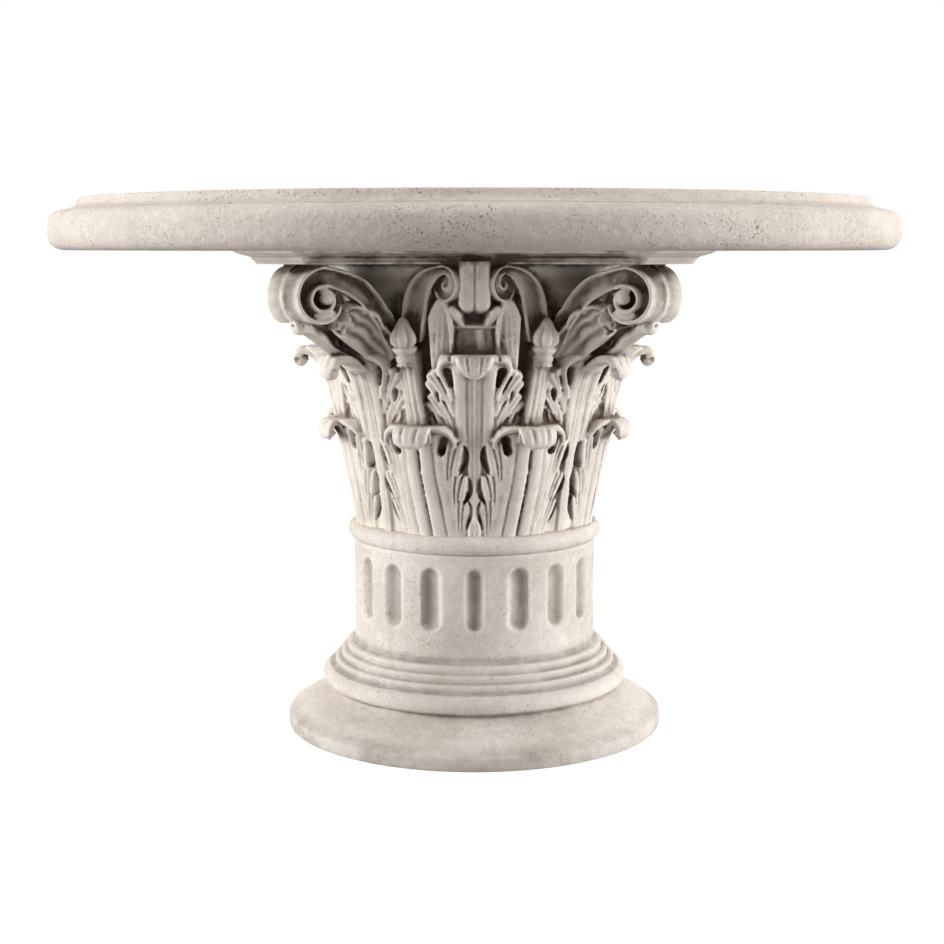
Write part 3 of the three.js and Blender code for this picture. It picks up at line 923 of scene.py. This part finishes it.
def grain_group():
    """Mottled cast stone: a colour, and a height with fine grain and open pits."""
    tree, start, end = socketed_group(
        "Cast stone grain",
        [
            ("Vector", "Vector", None),
            ("Light stone", "Color", (0.80, 0.74, 0.64, 1)),
            ("Dark stone", "Color", (0.62, 0.54, 0.44, 1)),
            ("Pits", "Float", 0.5),
        ],
        [("Color", "Color"), ("Height", "Float"), ("Pit mask", "Float")],
    )
    at = start.outputs["Vector"]
    cloud = mapped(tree, noise(tree, at, 7, 5), 0.36, 0.66)
    speck = mapped(tree, noise(tree, at, 90, 6, 0.65), 0.40, 0.64)
    mixed = maths(tree, "ADD", maths(tree, "MULTIPLY", cloud, 0.6), maths(tree, "MULTIPLY", speck, 0.4))
    colour = blended(tree, mixed, start.outputs["Dark stone"], start.outputs["Light stone"])
    pit = mapped(tree, noise(tree, at, 380, 2, 0.5), 0.615, 0.68)
    large = mapped(tree, noise(tree, at, 95, 2, 0.5), 0.735, 0.765)
    patchy = mapped(tree, noise(tree, at, 11, 3), 0.42, 0.58, 0.25, 1.0)
    pitted = maths(tree, "MAXIMUM", maths(tree, "MULTIPLY", pit, patchy), large)
    open_pits = maths(tree, "MULTIPLY", pitted, start.outputs["Pits"])
    height = maths(tree, "SUBTRACT", maths(tree, "MULTIPLY", speck, 0.26), open_pits)
    # the pits are painted dark brown for the shade inside them
    dark = blended(tree, maths(tree, "MULTIPLY", open_pits, 0.75), colour, (0.20, 0.155, 0.11, 1))
    for label, value in (("Color", dark), ("Height", height), ("Pit mask", open_pits)):
        tree.links.new(value, end.inputs[label])
    return tree


def shade_and_dirt_group():
    """Dark brown painted shade, with dirt, where the surface is sheltered, and pale rubbed stone where it stands proud.
    """
    tree, start, end = socketed_group(
        "Shade, dirt and wear",
        [
            ("Vector", "Vector", None),
            ("Color", "Color", (0.8, 0.75, 0.65, 1)),
            ("Sheltered", "Float", 0.0),
            ("Proud", "Float", 0.0),
            # the dark brown of the painted shade and dirt
            ("Shade and dirt colour", "Color", (0.120, 0.080, 0.058, 1)),
            ("Rubbed colour", "Color", (0.90, 0.86, 0.78, 1)),
            ("Shade and dirt", "Float", 1.0),
            ("Wear", "Float", 1.0),
        ],
        [("Color", "Color"), ("Shade and dirt mask", "Float")],
    )
    at = start.outputs["Vector"]
    uneven = mapped(tree, noise(tree, at, 24, 5, 0.6), 0.30, 0.70, 0.62, 1.25)
    # the sheltered mask darkens the colour: painted shade, with dirt
    shaded_and_soiled = maths(tree, "MULTIPLY", maths(tree, "MULTIPLY", start.outputs["Sheltered"], uneven), start.outputs["Shade and dirt"])
    shaded_and_soiled = node(tree, "ShaderNodeClamp", {"Value": shaded_and_soiled}).outputs[0]
    colour = blended(tree, shaded_and_soiled, start.outputs["Color"], start.outputs["Shade and dirt colour"])
    rubbed = maths(tree, "MULTIPLY", start.outputs["Proud"], mapped(tree, noise(tree, at, 40, 4), 0.32, 0.6))
    rubbed = maths(tree, "MULTIPLY", rubbed, start.outputs["Wear"])
    colour = blended(tree, rubbed, colour, start.outputs["Rubbed colour"])
    tree.links.new(colour, end.inputs["Color"])
    tree.links.new(shaded_and_soiled, end.inputs["Shade and dirt mask"])
    return tree


def stone(name, grain, shade_and_dirt, pits, shade_and_dirt_amount, wear, light, dark, bump):
    """A stone with its own share of the grain, the painted shade and dirt, and the wear. bump is the height of its
    grain in metres.
    """
    material = bpy.data.materials.new(name)
    material.use_nodes = True
    tree = material.node_tree
    at = node(tree, "ShaderNodeTexCoord").outputs["Object"]
    base = {"Vector": at, "Light stone": light, "Dark stone": dark, "Pits": pits}
    base = node(tree, "ShaderNodeGroup", base, node_tree=grain)
    shade_and_soil = {"Vector": at, "Color": base.outputs["Color"], "Shade and dirt": shade_and_dirt_amount, "Wear": wear}
    for label in ("Sheltered", "Proud"):
        shade_and_soil[label] = node(tree, "ShaderNodeAttribute", attribute_name=label.lower()).outputs["Fac"]
    shade_and_soil = node(tree, "ShaderNodeGroup", shade_and_soil, node_tree=shade_and_dirt)
    rough = {"Strength": 0.7, "Distance": bump, "Height": base.outputs["Height"]}
    finish = {
        "Specular IOR Level": 0.28,
        "Base Color": shade_and_soil.outputs["Color"],
        "Roughness": mapped(tree, shade_and_soil.outputs["Shade and dirt mask"], 0, 1, 0.72, 0.94),
        "Normal": node(tree, "ShaderNodeBump", rough).outputs["Normal"],
    }
    for label, value in finish.items():
        feed(tree, tree.nodes["Principled BSDF"].inputs[label], value)
    return material


# ---- shelter, painted shade with dirt, and wear, kept on the mesh, with heights in metres ----

RAY_LIFT = 0.0012
DAMP_HEIGHTS = 0.022, 0.034
ABACUS_HEIGHTS = 0.666, 0.674


def smooth_over_edges(values, edges, times):
    """Draws the value at each point half way to the mean of its neighbours, several times over."""
    shape = values.shape
    values = values.reshape(len(values), -1)
    count = np.maximum(np.bincount(edges.ravel(), minlength=len(values)), 1).astype(float)[:, None]
    for _ in range(times):
        total = np.zeros(values.shape)
        for here, there in (edges.T, edges[:, ::-1].T):
            for k in range(values.shape[1]):
                total[:, k] += np.bincount(here, values[there, k], len(values))
        values = 0.5 * values + 0.5 * total / count
    return values.reshape(shape)


def shelter(points, normals, tree, rays, reach):
    """How much of what each point looks out on is stone within reach: 0 in the open, and near 1 in a deep hollow."""
    spread = np.random.default_rng(SEED).normal(size=(rays, 3))
    spread /= np.linalg.norm(spread, axis=1)[:, None]
    found = np.zeros(len(points))
    for v, n in enumerate(normals):
        origin = Vector(points[v] + n * RAY_LIFT)
        hits = 0.0
        for d in spread:
            distance = tree.ray_cast(origin, Vector(n * 1.05 + d), reach)[3]
            if distance is not None:
                hits += 1 - distance / reach
        found[v] = hits / rays
    return found


def weather(piece, rays, reach, others=()):
    """Writes two vertex attributes: how sheltered each point is, as a mask of painted shade in hollows, creases and
    under the slab, with dirt and damp, and how far it stands proud.
    """
    mesh = piece.data
    at = points_of(mesh).astype(float)
    normals = np.empty(at.size, np.float32)
    mesh.vertex_normals.foreach_get("vector", normals)
    normals = normals.reshape(-1, 3).astype(float)
    edges = np.empty(len(mesh.edges) * 2, np.int32)
    mesh.edges.foreach_get("vertices", edges)
    edges = edges.reshape(-1, 2)
    fine, broad = (
        np.einsum("ij,ij->i", smooth_over_edges(at, edges, times) - at, normals) * 1000 for times in (6, 30)
    )
    sheltered = np.zeros(len(at))
    if rays:
        points, triangles = gathered([piece, *others])
        tree = BVHTree.FromPolygons(points.tolist(), triangles.tolist())
        sheltered = smooth_over_edges(shelter(at, normals, tree, rays, reach), edges, 2)
    # painted shade: darker where the rays find stone close by and in creases, with dirt there too
    crease = np.clip(fine / 0.9, 0, 1) * 0.55 + np.clip(broad / 2.4, 0, 1) * 0.45
    shade_and_dirt = np.clip(ease(sheltered, 0.14, 0.52) * 0.95 + crease * 0.75, 0, 1)
    # the foot's edge takes up damp, unevenly, and the hollow sides of the abacus are painted dark with dirt and with
    # painted shadow from the slab above
    x, y, z = at.T
    damp = 0.36 + 0.26 * np.sin(x * 31) * np.sin(y * 23 + 1)
    shade_and_dirt += damp * (1 - ease(z, *DAMP_HEIGHTS))
    abacus_shadow_and_dirt = (1 - ease(np.abs(at[:, :2]).min(axis=1), 0.212, 0.221)) * (z < BEARING * 0.001)
    shade_and_dirt = np.clip(shade_and_dirt + 0.62 * abacus_shadow_and_dirt * ease(z, *ABACUS_HEIGHTS), 0, 1)
    proud = np.clip(-fine / 0.7, 0, 1) * (1 - ease(sheltered, 0.2, 0.6))
    for label, values in (("sheltered", shade_and_dirt), ("proud", proud)):
        attribute = mesh.attributes.new(label, "FLOAT", "POINT")
        attribute.data.foreach_set("value", values.astype(np.float32))


# ---- the pedestal: the capital fused as one casting, and the turned foot and drum ----


def side_shells():
    """What stands clear of the bell on one eighth of the ring, as shells that run through each other."""
    shells = Shells()
    upper_tip(shells, 0, 0, 1.0)
    upper_tip(shells, OCTANT, 22, 0.85)
    lower_tip(shells)
    corner_leaf(shells)
    outer_calyx_leaf(shells)
    calyx(shells)
    volute(shells)
    helix(shells)
    return shells.object("side carving")


def fused(piece, voxel, keep):
    """One closed skin round everything in the piece, with its triangles thinned to the given number."""
    remesh = piece.modifiers.new("Fuse", "REMESH")
    remesh.mode = "VOXEL"
    remesh.voxel_size = voxel / 1000
    remesh.use_smooth_shade = False
    name = piece.name
    skin = evaluated_mesh(piece, name + " skin")
    soften = skin.modifiers.new("Soften", "SMOOTH")
    soften.factor = 0.5
    soften.iterations = 2
    triangles = 2 * len(skin.data.polygons)
    if triangles > keep:
        thin = skin.modifiers.new("Thin", "DECIMATE")
        thin.ratio = keep / triangles
    return evaluated_mesh(skin, name)


def make_capital(material):
    """The bell, the carving and the abacus under one skin."""
    bell = bell_shell(bell_relief())
    carving = repeated(side_shells(), material, "carving")
    return fused(joined("capital", [bell, carving, abacus()]), VOXEL, CAPITAL_TRIANGLES)


def make_drum():
    """The foot, the drum with its flutes and the ring under the capital, turned in one."""
    drum = turned_shell("foot_and_drum", foot_profile(), DRUM_SIDES)
    cut_flutes(drum)
    return drum


def paint(piece, material):
    piece.data.materials.clear()
    piece.data.materials.append(material)
    piece.data.polygons.foreach_set("material_index", np.zeros(len(piece.data.polygons), np.int32))
    piece.data.shade_smooth()


grain = grain_group()
shade_and_dirt = shade_and_dirt_group()
carved_stone = stone(
    "Aged carved stone",
    grain,
    shade_and_dirt,
    pits=0.25,
    shade_and_dirt_amount=1.0,
    wear=0.8,
    light=(0.90, 0.82, 0.75, 1),
    dark=(0.73, 0.65, 0.58, 1),
    bump=0.0012,
)
turned_stone = stone(
    "Aged turned stone",
    grain,
    shade_and_dirt,
    pits=0.6,
    shade_and_dirt_amount=0.6,
    wear=0.45,
    light=(0.93, 0.86, 0.80, 1),
    dark=(0.72, 0.645, 0.575, 1),
    bump=0.0016,
)
slab_stone = stone(
    "Pitted slab stone",
    grain,
    shade_and_dirt,
    pits=1.0,
    shade_and_dirt_amount=0.7,
    wear=0.08,
    light=(0.73, 0.655, 0.59, 1),
    dark=(0.58, 0.515, 0.46, 1),
    bump=0.0022,
)

capital = make_capital(carved_stone)
drum = make_drum()
slab = turned_shell("moulded_slab", slab_profile(), SLAB_SIDES)
# the slab is in the capital's rays, so the capital is painted darker under it for the slab's shade
weather(capital, CAPITAL_RAYS, 0.06, [slab])
weather(drum, DRUM_RAYS, 0.05, [capital])
weather(slab, 0, 0.03)
paint(capital, carved_stone)
paint(drum, turned_stone)
paint(slab, slab_stone)

for piece in (capital, drum):
    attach(piece, "root")
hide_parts("pedestal")
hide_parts("pedestal")
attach(slab, "root")
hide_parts("table_top")

# ---- studio, in metres ----

CAMERA_PLACE = (-0.0034, -2.426, 0.698)
CAMERA_TILT = 82.26
CAMERA_LENS = 63.53
FLOOR_HALF = 30
FLOOR_GLOW = 1.32
WORLD_LIGHT = 0.30


def soft_light(name, at, aim, size, power):
    light = bpy.data.lights.new(name, "AREA")
    light.shape = "RECTANGLE"
    light.size, light.size_y = size
    light.energy = power
    lamp = bpy.data.objects.new(name, light)
    bpy.context.scene.collection.objects.link(lamp)
    lamp.location = at
    lamp.rotation_euler = (Vector(aim) - Vector(at)).to_track_quat("-Z", "Y").to_euler()


def seen_or_lit(tree, seen, lit):
    """What the camera sees directly, and what lights the object."""
    path = node(tree, "ShaderNodeLightPath")
    return node(tree, "ShaderNodeMixShader", {0: path.outputs["Is Camera Ray"], 1: lit, 2: seen}).outputs[0]


def pale_floor():
    """A floor that looks white and lights the object as a grey one does."""
    corners = [(x * FLOOR_HALF, y * FLOOR_HALF, 0) for x, y in ((-1, -1), (1, -1), (1, 1), (-1, 1))]
    floor = mesh_object("floor", corners, [(0, 1, 2), (0, 2, 3)])
    pale = bpy.data.materials.new("Pale floor")
    pale.use_nodes = True
    tree = pale.node_tree
    tree.nodes.remove(tree.nodes["Principled BSDF"])
    white, grey = (node(tree, "ShaderNodeBsdfDiffuse", {"Color": (tone, tone, tone, 1)}) for tone in (0.9, 0.30))
    glow = node(tree, "ShaderNodeEmission", {"Strength": FLOOR_GLOW})
    seen = node(tree, "ShaderNodeMixShader", {0: 0.72, 1: white.outputs[0], 2: glow.outputs[0]})
    surface = seen_or_lit(tree, seen.outputs[0], grey.outputs[0])
    tree.links.new(surface, tree.nodes["Material Output"].inputs["Surface"])
    floor.data.materials.append(pale)
    return floor


def pale_world():
    """A white background that lights the object softly."""
    world = bpy.data.worlds.new("Studio")
    bpy.context.scene.world = world
    world.use_nodes = True
    tree = world.node_tree
    dim = tree.nodes["Background"]
    dim.inputs["Color"].default_value = (1.0, 0.985, 0.96, 1)
    dim.inputs["Strength"].default_value = WORLD_LIGHT
    white = node(tree, "ShaderNodeBackground", {"Color": (1, 1, 1, 1)})
    surface = seen_or_lit(tree, white.outputs[0], dim.outputs[0])
    tree.links.new(surface, tree.nodes["World Output"].inputs["Surface"])


def studio():
    floor = pale_floor()
    pale_world()
    for side in (-1, 1):
        soft_light("side window", (side * 3.5, -0.85, 0.6), (0, -0.1, 0.35), (1.6, 2.2), 150)
    soft_light("overhead", (0, -0.7, 3.0), (0, -0.1, 0.3), (2.6, 2.0), 36)
    soft_light("back", (0, 2.6, 1.6), (0, 0, 0.4), (2.6, 1.6), 40)
    camera = bpy.data.cameras.new("camera")
    camera.lens = CAMERA_LENS
    camera.sensor_width = 36
    eye = bpy.data.objects.new("camera", camera)
    eye.location = CAMERA_PLACE
    eye.rotation_euler = (math.radians(CAMERA_TILT), 0, 0)
    bpy.context.scene.collection.objects.link(eye)
    bpy.context.scene.camera = eye
    bpy.context.scene.view_settings.view_transform = "Standard"


studio()
